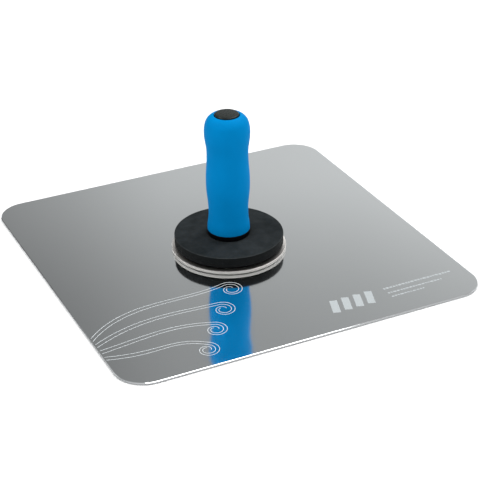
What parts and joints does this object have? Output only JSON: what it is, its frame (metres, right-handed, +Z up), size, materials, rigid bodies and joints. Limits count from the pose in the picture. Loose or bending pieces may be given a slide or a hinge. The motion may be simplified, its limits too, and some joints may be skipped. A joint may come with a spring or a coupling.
{
  "type": "plasterer's hawk",
  "caption": "Square aluminium plasterer's hawk with a screw-off upright soft-grip handle on a round mounting disc, with a foam hand pad under the grip.",
  "frame": {"origin": "centre of the square working face, on the underside of the plate", "axes": "+Z up along the handle's axis; X and Y along the plate's sides"},
  "size_m": [0.33, 0.33, 0.1311],
  "materials": {
    "plate_aluminium": "fine brushed, almost mirror",
    "disc_aluminium": "satin turned",
    "rivet_aluminium": "satin",
    "stud_steel": "zinc plated",
    "nut_steel": "zinc plated",
    "pad_foam": "matt closed-cell foam",
    "core_plastic": "satin moulded",
    "insert_brass": "turned",
    "grip_rubber": "soft matt with a faint sheen",
    "cap_plastic": "satin moulded"
  },
  "bodies": {
    "hawk": {"hawk_plate": "plate_aluminium", "mounting_disc": "disc_aluminium", "plate_rivets": "rivet_aluminium", "handle_stud": "stud_steel", "stud_nut": "nut_steel"},
    "pad": {"hand_pad": "pad_foam"},
    "handle": {"handle_core": "core_plastic", "threaded_insert": "insert_brass", "grip_sleeve": "grip_rubber", "end_cap": "cap_plastic"}
  },
  "joints": [
    {"name": "handle_lift", "type": "slide", "parent": "hawk", "child": "pad", "axis": [0, 0, 1], "range_m": [0, 0.022]},
    {"name": "handle_screw", "type": "hinge", "parent": "pad", "child": "handle", "pos_m": [0, 0, 0.02], "axis": [0, 0, 1], "range_deg": [0, 5280]}
  ],
  "couplings": [
    {"joint": "handle_screw", "follows": "handle_lift", "rad_per_m": 4188.8}
  ]
}
